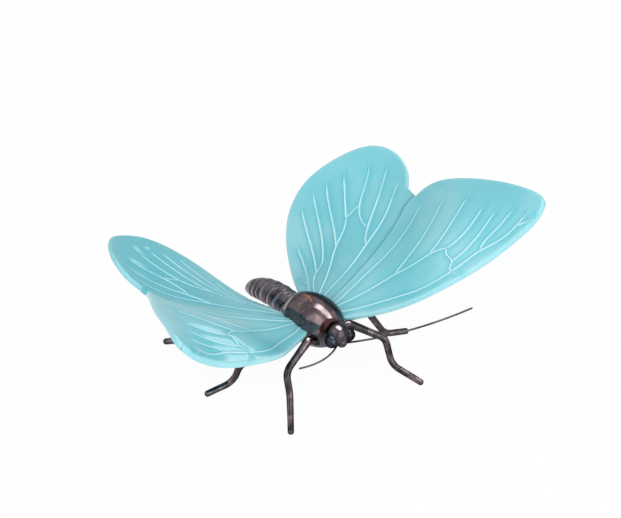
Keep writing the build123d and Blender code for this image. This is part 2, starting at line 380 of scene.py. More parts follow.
def metal(name, body, dark, bloom_tone, rough, bump, marks=(), edge=0.3):
    material, tree, shader = new_material(name)
    place = tree.nodes.new("ShaderNodeTexCoord")
    group = tree.nodes.new("ShaderNodeGroup")
    group.node_tree = patina
    tree.links.new(place.outputs["Object"], group.inputs["Vector"])
    for label, tone in (("Body", body), ("Dark", dark), ("Bloom", bloom_tone)):
        group.inputs[f"{label} Colour"].default_value = srgb(*tone)
    group.inputs["Roughness"].default_value = rough
    colour = group.outputs["Colour"]
    fleck = maths(tree, "MULTIPLY", group.outputs["Height"], 0.5)
    for label, tone in marks:
        flecked = maths(tree, "ADD", mark(tree, label), fleck)
        colour = blend(tree, ramp(tree, flecked, 0.45, 1.0), colour, srgb(*tone))
    tree.links.new(colour, shader.inputs["Base Color"])
    tree.links.new(group.outputs["Roughness"], shader.inputs["Roughness"])
    shader.inputs["Metallic"].default_value = 1.0
    shader.inputs["Specular Tint"].default_value = (edge, edge, edge, 1)
    relief = tree.nodes.new("ShaderNodeBump")
    relief.inputs["Strength"].default_value = bump
    relief.inputs["Distance"].default_value = relief_depth
    tree.links.new(group.outputs["Height"], relief.inputs["Height"])
    tree.links.new(relief.outputs["Normal"], shader.inputs["Normal"])
    return material


# The dome's dark band tone is a painted reflection, and its pale rear tone is partly wear and partly a
# painted highlight.
dome_metal = metal("dome metal", (112, 98, 101), (82, 74, 78), (132, 106, 102), 0.15, 0.10,
                   (("dark_reflection", (40, 40, 45)), ("neck", (46, 31, 30)),
                    ("worn", (176, 172, 174)), ("copper", (204, 132, 80))), 0.5)
tail_metal = metal("tail metal", (92, 87, 93), (62, 59, 64), (112, 102, 106), 0.34, 0.6,
                   (("groove", (24, 24, 27)), ("lip", (164, 160, 166))), 0.7)
leg_metal = metal("leg metal", (84, 77, 81), (50, 46, 49), (118, 106, 107), 0.16, 0.15, edge=0.4)
# The head's pale tone is wear at the back edge and a painted highlight on the crown.
head_metal = metal("head metal", (78, 72, 79), (60, 56, 62), (90, 78, 80), 0.22, 0.12,
                   (("worn", (150, 136, 140)), ("copper", (150, 100, 62))), 0.6)
# The base is paler than the body: a rough grey casting, partly painted light for the shade under the
# dome.
base_metal = metal("base metal", (142, 136, 139), (88, 84, 87), (150, 142, 142), 0.42, 1.3, edge=0.8)
eye_metal = metal("eye metal", (52, 55, 64), (38, 40, 48), (66, 68, 78), 0.10, 0.05)
wire_metal = metal("wire metal", (88, 84, 84), (62, 60, 62), (104, 96, 92), 0.30, 0.1, edge=1.0)
screw_metal = metal("screw metal", (150, 146, 142), (84, 82, 80), (160, 150, 140), 0.3, 0.1)
print("metal finishes ready")

# %% [markdown]
# ## Thorax dome
# The dome is half an egg, turned on a lathe in wax and cast. A half ellipse is spun round the
# body's axis, then cut on the wing seat, at the front lip and at the rear, and the cut edges are
# rounded, because a cast and polished rim catches a bright line there. The front lip is filed a
# little askew, and its face, where the neck begins, has stayed dark brown. The crown is rubbed to
# the copper in one streak. The left side of the rear end is painted pale, partly as wear and partly
# as a painted highlight, and a dark band on the right flank is a painted reflection.

# %% Spin and cut helpers
dome_radius = 11.0
dome_half_length = 19.0
lip_middle = np.array([0, -17.6, 0])
lip_way = np.array([-0.25, -0.963, 0.1])
lip_bevel = 0.4
dome_rear = 15.5
sheet = 2.4
seat_gap = 0.08
seat_bevel = 0.3
cap_corners = 12
seat_out, _, seat_up = tilted(seat_tilt)
seat = thorax + np.array([0, 0, seat_lift])


def spun_egg(bm, middle, half_length, radius, rings=90, turns=160):
    verts = []
    for angle in np.linspace(0, math.pi, rings):
        along, across = half_length * math.cos(angle), radius * math.sin(angle)
        verts.append(bm.verts.new((middle - along * body_back + across * body_up).tolist()))
    edges = [bm.edges.new(pair) for pair in zip(verts, verts[1:])]
    bmesh.ops.spin(bm, geom=verts + edges, cent=middle.tolist(), axis=body_back.tolist(),
                   dvec=(0, 0, 0), angle=2 * math.pi, steps=turns, use_merge=True, use_duplicate=False)
    bmesh.ops.remove_doubles(bm, verts=bm.verts, dist=2 * WELD)


def cut(bm, point, normal, rim, segments=3):
    geom = bm.verts[:] + bm.edges[:] + bm.faces[:]
    bmesh.ops.bisect_plane(bm, geom=geom, plane_co=np.asarray(point).tolist(),
                           plane_no=np.asarray(normal).tolist(), clear_outer=True, dist=0.0001)
    open_edges = [edge for edge in bm.edges if edge.is_boundary]
    bmesh.ops.holes_fill(bm, edges=open_edges, sides=0)
    caps = dict.fromkeys(face for edge in open_edges if edge.is_valid for face in edge.link_faces)
    caps = [face for face in caps if len(face.verts) > cap_corners]
    rim_edges = list(dict.fromkeys(edge for face in caps for edge in face.edges))
    if rim > 0 and rim_edges:
        bmesh.ops.bevel(bm, geom=rim_edges, offset=rim, segments=segments, profile=0.5,
                        affect="EDGES", material=-1, clamp_overlap=True)


def close_holes(bm):
    bmesh.ops.holes_fill(bm, edges=[edge for edge in bm.edges if edge.is_boundary], sides=0)


def trim(bm, point, normal):
    geom = bm.verts[:] + bm.edges[:] + bm.faces[:]
    bmesh.ops.bisect_plane(bm, geom=geom, plane_co=point, plane_no=normal, clear_outer=True)
    close_holes(bm)


def past_lip(spot):
    return float((spot - lip_middle) @ lip_way)


print("the egg is", 2 * dome_half_length, "mm long before it is cut")

# %% Dome
lip_normal = in_body(*lip_way) - in_body(0, 0, 0)
crown_streak = [(-1.3, 2.4, 10.8), (-0.7, -0.5, 11.0), (-1.9, -5.1, 10.4)]
# A dark band along the right flank, painted as a dark reflection.
dark_reflection_band = [(1.4, 2.2, 10.8), (2.2, -2.8, 10.7), (3.2, -9.6, 9.0), (4.6, -13.3, 6.6)]
bm = bmesh.new()
spun_egg(bm, thorax, dome_half_length, dome_radius)
cut(bm, in_body(*lip_middle), lip_normal, lip_bevel, 4)
cut(bm, in_body(0, dome_rear, 0), body_back, 0.0)
cut(bm, seat + seat_up * (sheet / 2 + seat_gap), -seat_up, seat_bevel)
paint(bm, {
    # painted reflection: the dark band on the right flank
    "dark_reflection": lambda spot: 0.6 * (1 - soft(near_line(spot, dark_reflection_band), 0.5, 3.6)),
    "neck": lambda spot: 0.95 * soft(past_lip(spot), -0.3, -0.08),
    # the left side of the rear end is painted pale: partly wear, partly a painted highlight
    "worn": lambda spot: 0.85 * soft(spot[1], 6.7, 7.4) * soft(-spot[0], 0.0, 6.5),
    "copper": lambda spot: 0.6 * (1 - soft(near_line(spot, crown_streak), 0.05, 0.9)),
})
finish_piece(bm, "dome", dome_metal, "thorax_dome")

# %% [markdown]
# ## Head and eyes
# The head is a small cast ball with a chin, and its back is cut flat on the dome's lip. The eyes are
# beads at its front corners. All are plain balls, because a ball needs no outline. The edge round
# the back and a spot between the eyes are rubbed bare, and a pale spot on the crown, where the
# overhead softbox is reflected, is a painted highlight.

# %% Head and eyes
def ball(bm, middle, radius, cuts=64):
    made = bmesh.ops.create_uvsphere(bm, u_segments=cuts, v_segments=cuts // 2, radius=radius)
    bmesh.ops.translate(bm, vec=middle.tolist(), verts=made["verts"])


head_radius = 4.8
head_middle = in_body(0, -20.25, -1.35)
head_gap = 0.1
head_bevel = 0.3
chin_radius = 2.4
chin_middle = in_body(0, -22.3, -4.5)
eye_radius = 2.9
eye_out, eye_ahead, eye_drop = 4.3, 21.4, 2.9
# painted highlight: a pale spot on the crown, where the overhead softbox is reflected
highlight_way = np.array([-0.10, -0.30, 0.95])
painted_highlight_spot = from_body(head_middle + head_radius * highlight_way)
brow_spot = np.array([-2.9, -24.6, -1.7])
bm = bmesh.new()
ball(bm, head_middle, head_radius)
cut(bm, in_body(*lip_middle) + head_gap * lip_normal, -lip_normal, head_bevel)
ball(bm, chin_middle, chin_radius, 48)
paint(bm, {
    # the back edge is rubbed pale as wear, and the crown spot is a painted highlight
    "worn": lambda spot: max(0.5 * (1 - soft(past_lip(spot), 0.2, 0.9)),
                             0.62 * (1 - soft(np.linalg.norm(spot - painted_highlight_spot), 0.4, 2.6))),
    "copper": lambda spot: 0.6 * (1 - soft(np.linalg.norm(spot - brow_spot), 0.2, 1.1)),
})
finish_piece(bm, "head_ball", head_metal, "head")

for side, hand in ((-1, "left"), (1, "right")):
    bm = bmesh.new()
    ball(bm, in_body(side * eye_out, -eye_ahead, -eye_drop), eye_radius, 48)
    finish_piece(bm, f"{hand}_eye", eye_metal, f"eye_{hand}")

# %% [markdown]
# ## Feelers
# Each feeler is a thin wire pushed into the head and bent in one long arc. The two are bent by
# hand, so one rises a little more than the other.

# %% Feelers
feeler_out, feeler_ahead, feeler_rise = 41.0, 41.6, 16.3
feeler_skew = 2.3
bow_in, bow_down = 2.7, 2.0
wire_radius, wire_tip = 0.45, 0.41
feeler_rings = 60
for side, hand in ((-1, "left"), (1, "right")):
    root = np.array([side * 1.5, -20.3, -6.2])
    tip = root + np.array([side * feeler_out, -feeler_ahead, feeler_rise - side * feeler_skew])
    middle = (root + tip) / 2 + np.array([-side * bow_in, 0, -bow_down])
    path = arc(in_body(*root), in_body(*middle), in_body(*tip), feeler_rings)
    path[-1] = path[-2] + (path[-1] - path[-2]) * 0.9
    sizes = np.linspace(wire_radius, wire_tip, feeler_rings)
    sizes[0] = 0.0
    sizes[-1] = 0.0
    bm = bmesh.new()
    rolled_rod(bm, path, sizes, 14)
    finish_piece(bm, f"{hand}_feeler", wire_metal, f"antenna_{hand}")

# %% [markdown]
# ## Tail
# The tail is a row of rings that lap over each other like the plates of a real abdomen. A rod is
# rolled along the tail's arch, and its radius rises to a lip and drops to a groove in each ring.
# The rings lean, are unevenly spaced and are shallower on top, the same on every run, because they
# are filed by hand and not turned on a lathe. The lips are rubbed pale and the grooves stay black.

# %% Tail rings
tail_length = 40.4
tail_radius = 6.0
tail_arch = 2.2
tail_droop = 1.6
taper = [0.94, 0.99, 1.0, 1.0, 0.98, 0.93, 0.84, 0.70, 0.42]
rings = 8
lip_place = 0.85
groove_depth = 0.13
tail_sink = 2.0
tail_gap = 0.08
nub_share = 0.85
nub_length = 0.5
steps = 36 * rings
tail_path = arc(in_body(0, dome_rear - tail_sink, 0),
                in_body(0, dome_rear + tail_length / 2, tail_arch),
                in_body(0, dome_rear + tail_length, -tail_droop), steps + 1)
taper_places = np.linspace(0, 1, len(taper))
tail_size = tail_radius * np.interp(np.linspace(0, 1, steps + 1), taper_places, taper)


def ring_place(ring, angle):
    lean = 0.2 * math.sin(angle + 0.6) + 0.1 * math.sin(3 * angle + 1.0)
    toward_tip = ring / steps
    uneven = 0.14 * math.sin(9.0 * toward_tip + 0.7)
    uneven += 0.1 * math.sin(23.0 * toward_tip + 1.3 * math.cos(angle))
    return (toward_tip * rings + lean + uneven) % 1.0


def ring_rise(ring, angle):
    within = ring_place(ring, angle)
    if within < lip_place:
        return soft(within, -0.06, 0.12) * (0.62 + 0.38 * within / lip_place)
    return 1 - soft(within, lip_place, 1.04)


def ring_reach(ring, angle):
    toward_tip = ring / steps
    return 0.35 + 0.65 * max(toward_tip ** 2, min(1.0, 1 - 0.8 * math.sin(angle)))


def hand_worked(ring, angle):
    place = ring / steps
    dents = 0.012 * math.sin(3 * angle + 40 * place) + 0.008 * math.sin(7 * angle - 95 * place)
    return 1 - groove_depth * ring_reach(ring, angle) * (1 - ring_rise(ring, angle)) + dents - 0.012


def lip_mark(ring, angle):
    if ring >= steps:
        return 0.7
    within = ring_place(ring, angle)
    worn = 0.75 * soft(within, 0.35, lip_place) * (1 - soft(within, lip_place, 0.97))
    return worn * ring_reach(ring, angle) + 0.5 * soft(ring / steps, 0.72, 0.97)


def groove_mark(ring, angle):
    if ring >= steps:
        return 0.0
    within = ring_place(ring, angle)
    return 0.95 * (1 - soft(min(abs(within - 1.0), within), 0.03, 0.12)) * ring_reach(ring, angle)


print("the tail has", rings, "rings in", steps, "steps")

# %% Tail
closing = np.linspace(0, math.pi / 2, 8)[1:]
direction = tail_path[-1] - tail_path[-2]
direction /= np.linalg.norm(direction)
nub = tail_size[-1] * nub_share
tip_path = [tail_path[-1] + direction * nub * nub_length * math.sin(a) for a in closing]
tail_path = np.concatenate([tail_path, tip_path])
tail_size = np.concatenate([tail_size, [nub * math.cos(a) for a in closing]])
tail_size[-1] = 0.0
bm = bmesh.new()
rolled_rod(bm, tail_path, tail_size, 96, hand_worked, {"lip": lip_mark, "groove": groove_mark})
trim(bm, in_body(0, dome_rear + tail_gap, 0).tolist(), (-body_back).tolist())
finish_piece(bm, "tail", tail_metal, "abdomen")

# %% [markdown]
# ## Legs
# Six lengths of rod, bent at shoulder, knee and ankle, each end pushed into the base. The corners
# are rounded as a rod bends round a former, solder thickens the rod at its root, it is drawn a
# little thinner towards the foot, and the foot ends in a round tip that stands on the ground. They
# are bent by hand, so left and right differ. The hidden rear right leg mirrors the rear left one.

# %% Leg bends
base_radius = 10.0
base_half_length = 18.5
reach = 50.5
stance = 44.2
rod_radius = 1.55
foot_height = rod_radius - 0.3
bend_radii = (2.2, 6.0, 7.0)
swell_places = (0, 0.05, 0.08, 0.13, 0.3, 1)
swell_sizes = (1.3, 1.75, 1.6, 1.25, 1.08, 0.9)
toe_rings = 9
toe_length = 0.9
sockets = {
    "front": ((0.32, -0.56, -0.54), (1.04, -0.67, -0.28)),
    "mid": ((0.46, 0.03, -0.50), (1.15, 0.03, -0.36)),
    "rear": ((0.44, 0.51, -0.44), (1.04, 0.62, -0.42)),
}
rear_bends = ((0.475, 0.55, 0.52), (0.69, 0.80, 0.16), (0.965, 1.065, -0.011))
bends = {
    "front_left": ((0.502, -0.42, 0.765), (0.51, -0.50, 0.335), (0.667, -0.80, -0.027)),
    "front_right": ((0.476, -0.465, 0.675), (0.49, -0.565, 0.17), (0.635, -0.87, -0.027)),
    "mid_left": ((0.70, 0.075, 0.45), (0.745, 0.10, 0.09), (1.02, 0.13, -0.006)),
    "mid_right": ((0.566, 0.014, 0.645), (0.71, -0.075, 0.07), (0.935, -0.125, -0.006)),
    "rear_left": rear_bends,
    "rear_right": rear_bends,
}


def bent_line(points, radii, step=0.6):
    line = [points[0]]
    for before, corner, after, radius in zip(points, points[1:], points[2:], radii):
        into = (corner - before) / np.linalg.norm(corner - before)
        out = (after - corner) / np.linalg.norm(after - corner)
        turn = math.acos(float(np.clip(np.dot(into, out), -1, 1)))
        inward = (out - into) / np.linalg.norm(out - into)
        centre = corner + inward * radius / math.cos(turn / 2)
        arm = (corner - into * radius * math.tan(turn / 2) - centre) / radius
        for angle in np.linspace(0, turn, 13):
            line.append(centre + radius * (math.cos(angle) * arm + math.sin(angle) * into))
    line.append(points[-1])
    line = np.array(line)
    along = chords(line)
    places = np.linspace(0, along[-1], int(along[-1] / step))
    return np.stack([np.interp(places, along, line[:, i]) for i in range(3)], 1)


def hammered(ring, angle):
    return 1 + 0.015 * math.sin(2 * angle + 0.13 * ring) + 0.012 * math.sin(0.31 * ring + angle)


print("legs", list(bends))

# %% Legs
for name, shares in bends.items():
    row, hand = name.split("_")
    side = -1 if hand == "left" else 1
    points = [in_body(side * x * base_radius, y * base_half_length, z * base_radius)
              for x, y, z in sockets[row]]
    for x, y, z in shares:
        height = foot_height + z * (thorax[2] - foot_height)
        points.append(np.array([side * x * reach, y * stance + thorax[1], height]))
    path = bent_line(points, bend_radii)
    toe = (path[-1] - path[-2]) / np.linalg.norm(path[-1] - path[-2])
    end = path[-1]
    path = path[:-3]
    swell = np.interp(np.linspace(0, 1, len(path)), swell_places, swell_sizes)
    sizes = list(swell * rod_radius)
    thin = sizes[-1]
    for angle in np.linspace(0, math.pi / 2, toe_rings):
        path = np.concatenate([path, [end - toe * thin * toe_length * (1 - math.sin(angle))]])
        sizes.append(thin * math.cos(angle))
    sizes[-1] = 0.0
    sizes[0] = 0.0
    bm = bmesh.new()
    rolled_rod(bm, path, sizes, 28, hammered)
    trim(bm, (0, 0, 0), (0, 0, -1))
    finish_piece(bm, f"{row}_{hand}_leg", leg_metal, f"leg_{name}")

# %% [markdown]
# ## Wing surface
# A wing is a thin, gently curved sheet. Its height above a flat wing plane is known at a few
# stations along the span and across the chord. One smooth sweep through all stations gives it
# along the span, as the solid's loft does, and a cubic gives it across the chord.

# %% Wing surface
wing_span = 94.0
fore_chord = 44.0
hind_chord = 71.45
wing_camber = 6.0
wing_step = 0.8
margin_round = 0.8
dihedral = math.radians(33.0)
wing_tilt = math.radians(3.8)
span_dir = np.array([math.cos(dihedral), 0.0, math.sin(dihedral)])
normal = np.array([-math.cos(wing_tilt) * math.sin(dihedral), math.sin(wing_tilt),
                   math.cos(wing_tilt) * math.cos(dihedral)])
chord_dir = np.cross(normal, span_dir)
wing_sink = 0.1
wing_root = seat + dome_radius * seat_out - wing_sink * normal
stations = [-0.1, 0.13, 0.32, 0.53, 0.74, 1.04]
chord_places = [-0.45, -0.27, -0.1, 0.1, 0.29, 0.48, 0.69]
cambers = [
    [0.95, 0.90, 1.0, 0.15, -0.20, 0.40, 0.25],
    [-1.05, -0.70, -0.35, -0.10, -0.65, -0.45, 0.20],
    [-1.65, -0.70, -0.45, -0.60, -0.70, -0.40, 0.60],
    [-1.80, -0.75, -0.15, -0.90, -1.10, -0.35, 0.80],
    [-1.60, -0.60, 0.0, -0.40, -0.50, 0.55, 1.40],
    [0.10, 0.55, 1.05, 0.60, 0.65, 1.30, 2.05],
]
span_knots = np.array(stations) * wing_span
chord_knots = np.array(chord_places) * (fore_chord + hind_chord)


def sheet_height(spots):
    basis = np.ones((len(spots), len(span_knots)))
    for i, here in enumerate(span_knots):
        for other in np.delete(span_knots, i):
            basis[:, i] *= (spots[:, 0] - other) / (here - other)
    along = basis @ (np.array(cambers) * wing_camber)
    weights = cubic(chord_knots, np.eye(len(chord_knots)), spots[:, 1])
    return np.sum(along * weights, axis=1)


def on_wing(shares):
    return np.array([(x * wing_span, y * (fore_chord if y < 0 else hind_chord)) for x, y in shares])


def lifted(spots, heights):
    flat = wing_root + spots[:, :1] * span_dir + spots[:, 1:2] * chord_dir
    return flat + np.asarray(heights)[:, None] * normal


print("sheet height at mid span", sheet_height(np.array([[wing_span / 2, 0.0]])))

# %% [markdown]
# ## Wing outlines
# The forewing is a raised layer in front, and the hindwing runs on under its rear edge. Each is
# one patch between four border lines: root, two long sides and outer margin.

# %% Outlines
fore_line = on_wing([(0.005, -0.25), (0.092, -0.355), (0.29, -0.63), (0.54, -0.815), (0.81, -0.955),
                     (0.945, -1.01), (0.99, -0.985), (0.988, -0.735), (0.932, -0.375), (0.816, 0.07),
                     (0.705, 0.237), (0.648, 0.262)])
hind_line = on_wing([(0.662, 0.39), (0.741, 0.66), (0.706, 0.762), (0.538, 0.936), (0.366, 0.99),
                     (0.207, 0.934), (0.033, 0.688), (-0.046, 0.45), (-0.065, 0.34)])
step_line = on_wing([(-0.06, 0.03), (0.027, 0.045), (0.185, 0.085), (0.365, 0.148), (0.53, 0.24),
                     (0.60, 0.275), (0.648, 0.265)])


samples = 241
overlap = 3.0
wing_tip = 6
hind_tip = 4


def split_curve(points, at):
    along = chords(points)
    parts = ((0, along[at]), (along[at], along[-1]))
    return [cubic(along, points, np.linspace(*ends, samples)) for ends in parts]


leading, outer_fore = split_curve(fore_line, wing_tip)
outer_hind, inner_hind = split_curve(hind_line, hind_tip)
inner_hind = inner_hind[::-1]
step_curve = through(step_line, samples)
under_step = step_curve - np.array([0.0, overlap])
notch = under_step[-1]
outer_hind = np.concatenate([[notch], outer_hind])
margin_fore = np.concatenate([leading, outer_fore])
margin_hind = np.concatenate([outer_hind[1:], inner_hind[::-1]])
inner_root = np.array([[-4.0, -5.5]])
leading = np.concatenate([inner_root, leading])
print("margins", len(margin_fore), len(margin_hind))

# %% [markdown]
# ## Patches
# A patch is filled from its four borders: the two straight rulings added, less the corners.
# Distances to a border, to the step or to a vein shape the rounded margin and the relief.

# %% Patches and distances
def along_curve(points, shares):
    along = chords(points)
    places = np.asarray(shares) * along[-1]
    return np.stack([np.interp(places, along, points[:, i]) for i in range(2)], 1)


def patch(first, last, start, end, u, v):
    lower = along_curve(first, u)
    upper = along_curve(last, u)
    left = along_curve(start, v)
    right = along_curve(end, v)
    across = np.asarray(u)[:, None]
    spots = np.zeros((len(u), len(v), 2))
    for j, b in enumerate(v):
        ruled_v = (1 - b) * lower + b * upper
        ruled_u = (1 - across) * left[j] + across * right[j]
        corners = ((1 - across) * ((1 - b) * lower[0] + b * upper[0])
                   + across * ((1 - b) * lower[-1] + b * upper[-1]))
        spots[:, j] = ruled_v + ruled_u - corners
    return spots


def nearest(spots, line):
    best = np.full(len(spots), 1e9)
    for a, b in zip(line, line[1:]):
        edge = b - a
        size = np.dot(edge, edge)
        if size < 1e-9:
            continue
        t = np.clip(((spots - a) @ edge) / size, 0, 1)
        best = np.minimum(best, np.linalg.norm(spots - a - t[:, None] * edge, axis=1))
    return best


def rounding(distance, radius):
    inside = np.clip(radius - distance, 0, radius)
    return radius - np.sqrt(np.maximum(radius ** 2 - inside ** 2, 0))


print("patch helpers ready")

# %% [markdown]
# ## Veins
# The veins are thin ridges carved into the mould, so the glaze runs thin and pale over them and
# pools darker beside them. Each is a few points on the wing, in shares of span and chord. A vein
# that ends in the open fades out, and one that meets another keeps its height up to the joint.

# %% Vein lines
fore_veins = [
    [(0.0, -0.12), (0.031, -0.166), (0.155, -0.314), (0.251, -0.457), (0.331, -0.575), (0.423, -0.654),
     (0.487, -0.689)],
    [(0.487, -0.689), (0.577, -0.719), (0.643, -0.749), (0.75, -0.837), (0.837, -0.883),
     (0.953, -0.913)],
    [(0.836, -0.886), (0.897, -0.971), (0.933, -1.0)],
    [(0.645, -0.746), (0.668, -0.724), (0.716, -0.721), (0.795, -0.739), (0.928, -0.744)],
    [(0.487, -0.689), (0.491, -0.735), (0.519, -0.785)],
    [(0.487, -0.689), (0.497, -0.647), (0.522, -0.619), (0.528, -0.558), (0.551, -0.485)],
    [(0.522, -0.619), (0.592, -0.634), (0.763, -0.613), (0.873, -0.583)],
    [(0.553, -0.481), (0.628, -0.504), (0.761, -0.476), (0.856, -0.423)],
    [(-0.02, -0.03), (0.03, -0.054), (0.159, -0.118), (0.306, -0.211), (0.39, -0.302), (0.479, -0.377),
     (0.553, -0.481)],
    [(0.48, -0.373), (0.552, -0.358), (0.743, -0.26), (0.836, -0.196)],
    [(0.308, -0.204), (0.436, -0.176), (0.543, -0.136), (0.652, -0.046), (0.767, 0.013)],
    [(-0.02, -0.008), (0.026, 0.0), (0.195, 0.032), (0.382, 0.053), (0.532, 0.105), (0.603, 0.142),
     (0.683, 0.158)],
]
hind_veins = [
    [(-0.03, 0.11), (0.021, 0.133), (0.131, 0.162), (0.217, 0.195), (0.32, 0.254), (0.474, 0.345),
     (0.561, 0.414), (0.641, 0.462), (0.702, 0.471)],
    [(0.324, 0.261), (0.354, 0.322), (0.441, 0.427), (0.575, 0.541), (0.714, 0.625)],
    [(0.39, 0.383), (0.396, 0.448), (0.449, 0.569), (0.548, 0.653), (0.647, 0.758)],
    [(0.449, 0.569), (0.403, 0.564), (0.354, 0.554)],
    [(0.354, 0.554), (0.437, 0.707), (0.533, 0.856)],
    [(-0.04, 0.14), (0.009, 0.19), (0.118, 0.305), (0.22, 0.425), (0.308, 0.495), (0.354, 0.554)],
    [(0.22, 0.425), (0.291, 0.591), (0.41, 0.855), (0.445, 0.906)],
    [(-0.05, 0.17), (-0.006, 0.241), (0.064, 0.381), (0.098, 0.393), (0.145, 0.452), (0.224, 0.619),
     (0.355, 0.927)],
    [(0.064, 0.381), (0.121, 0.537), (0.2, 0.76), (0.264, 0.91)],
    [(-0.05, 0.22), (-0.023, 0.288), (0.021, 0.418), (0.081, 0.636), (0.104, 0.726)],
    [(-0.001, 0.367), (-0.02, 0.478)],
]
valley_depth = 0.28
valley_width = 2.2
vein_samples = 24
faded_samples = 3
joint_gap = 0.02


def ends_free(points, veins):
    ends = [end for other in veins if other is not points for end in (other[0], other[-1])]
    return min(math.dist(points[-1], end) for end in ends) > joint_gap


def vein_distance(spots, veins):
    best = np.full(len(spots), np.inf)
    for points in veins:
        line = through(on_wing(points), vein_samples)
        if ends_free(points, veins):
            line = line[:-faded_samples]
        best = np.minimum(best, nearest(spots, line))
    return best


def valley(distance):
    return valley_depth * np.exp(-(distance / valley_width) ** 2)


print("veins", len(fore_veins), "and", len(hind_veins))

# %% [markdown]
# ## Lobes
# Each lobe of a wing is pressed clay with a round margin. Here it is a grid between its border
# lines, once for the top and once for the underside, with closer rows at the margin so that it
# rounds over, and the two are bridged. A sheet thickened later would not keep a round margin.

# %% Lobe builder
def clustered(count, low, high):
    middle = np.linspace(0, 1, count)
    return np.unique(np.concatenate([[0.0], low, middle[1:-1], 1 - np.asarray(high), [1.0]]))


def lobe(bm, layers, spots, top, bottom, marks):
    rows, columns = spots.shape[:2]
    flat = spots.reshape(-1, 2)
    loops = []
    for heights, on_top in ((top, True), (bottom, False)):
        made = bmesh.ops.create_grid(bm, x_segments=rows - 1, y_segments=columns - 1, size=0.5)
        places = lifted(flat, heights)
        for vert in made["verts"]:
            i, j = grid_place(vert, rows - 1, columns - 1)
            k = i * columns + j
            vert.co = places[k].tolist()
            for name, values in marks.items():
                vert[layers[name]] = float(values[k]) if on_top or name == "rim" else 0.0
        new = set(made["verts"])
        loops.append([edge for edge in bm.edges if edge.is_boundary and edge.verts[0] in new])
    bmesh.ops.bridge_loops(bm, edges=loops[0] + loops[1])


print("rows of a lobe", clustered(4, [], [0.1]))

# %% [markdown]
# ## Vein ridges
# A vein stands in its valley as a low rounded ridge that follows the sheet and gets narrower
# towards the margin. It is a closed bar whose keel lies in the clay, because a line in the shading
# alone would not catch the light. Marks on its vertices tell the glaze where the crest is.

# %% Vein ridge builder
vein_root, vein_tip = 0.85, 0.65
vein_rise = 0.42
vein_step = 0.7
edge_sink = 0.05
keel_depth = 0.5
pool_width = 1.9
ridge_points = 11
ridge_across = np.linspace(-1, 1, ridge_points)
ridge_shape = np.cos(ridge_across * math.pi / 2) ** 2


def pooled(distance):
    return np.exp(-(distance / pool_width) ** 2)


def ridge(bm, layers, points, veins, lift):
    line = on_wing(points)
    count = max(8, int(chords(line)[-1] / vein_step))
    line = through(line, count)
    ahead = np.gradient(line, axis=0)
    ahead /= np.linalg.norm(ahead, axis=1)[:, None]
    across = np.stack([-ahead[:, 1], ahead[:, 0]], 1)
    share = np.linspace(0, 1, count)
    width = vein_root + (vein_tip - vein_root) * share
    fade = np.minimum(1, (share * count + 2) / 4)
    if ends_free(points, veins):
        fade = np.minimum(fade, (1 - share) * count / 9 - 0.25)
    offsets = (ridge_across[None] * width[:, None])[:, :, None]
    spots = (line[:, None] + across[:, None] * offsets).reshape(-1, 2)
    distance = vein_distance(spots, veins)
    shape = (fade[:, None] * ridge_shape[None]).reshape(-1)
    edge = np.tile(np.abs(ridge_across) > 0.95, count)
    heights = sheet_height(spots) + lift - valley(distance) + vein_rise * shape - edge_sink * edge
    tops = lifted(spots, heights)
    keel = lifted(line, sheet_height(line) + lift - valley_depth - keel_depth)
    around = ridge_points + 1
    made = bmesh.ops.create_grid(bm, x_segments=count - 1, y_segments=around, size=0.5)
    for vert in made["verts"]:
        i, j = grid_place(vert, count - 1, around)
        j %= around
        k = i * ridge_points + j
        vert.tag = j in (0, ridge_points - 1)
        if j == ridge_points:
            vert.co = keel[i].tolist()
            continue
        vert.co = tops[k].tolist()
        vert[layers["crest"]] = float(shape[k])
        vert[layers["pool"]] = float(pooled(distance[k]) * fade[i])
    bmesh.ops.remove_doubles(bm, verts=made["verts"], dist=WELD)
    close_holes(bm)
    for edge in bm.edges:
        if edge.verts[0].tag and edge.verts[1].tag:
            edge.smooth = False
    for vert in bm.verts:
        vert.tag = False


print("a vein is", 2 * vein_root, "mm wide at its root and rises", vein_rise, "mm")

# %% [markdown]
# ## A whole wing
# The forewing lies one step higher than the hindwing, with a softly rounded edge. The cells between
# the veins are slightly pillowed, because each vein stands in its own valley. Marks for crest, pool,
# margin and the darker glaze beside the step, partly pooled glaze and partly a painted shadow of
# the step, go with the mesh, so that the glaze follows them.

# %% Wing mesh
margin_rows = np.array([0.08, 0.28, 0.55, 0.95])
step_rows = np.array([0.05, 0.16, 0.32, 0.6]) / 30.0
step_round = 0.45
fore_trim = 0.2
rim_width = 1.6
# width and reach of the darker glaze beside the step: partly pooled glaze, partly a painted shadow
step_shadow_width = 1.7
step_shadow_span = 0.65


def measured(spots, margin, veins):
    flat = spots.reshape(-1, 2)
    edge = nearest(flat, margin[::3])
    step = nearest(flat, step_curve[::3])
    vein = vein_distance(flat, veins)
    rim = 1 - np.clip(edge / rim_width, 0, 1)
    return flat, edge, step, vein, rim


def fore_lobe(bm, layers):
    u = clustered(120, [], margin_rows / 90.0)
    v = clustered(64, margin_rows / 40.0, step_rows)
    root = np.array([leading[0], step_curve[0]])
    spots = patch(leading, step_curve, root, outer_fore, u, v)
    flat, edge, step, vein, rim = measured(spots, margin_fore, fore_veins)
    height = sheet_height(flat)
    top = height + wing_step - valley(vein) - rounding(edge, margin_round)
    top = top - rounding(step, step_round) * (edge > 0.05)
    bottom = height - sheet + fore_trim + rounding(edge, margin_round)
    crest = 0.9 * np.clip(1.2 - step / 1.1, 0, 1)
    marks = {"crest": crest, "pool": pooled(vein), "rim": rim, "step_pool_shadow": 0 * edge}
    lobe(bm, layers, spots, top, bottom, marks)


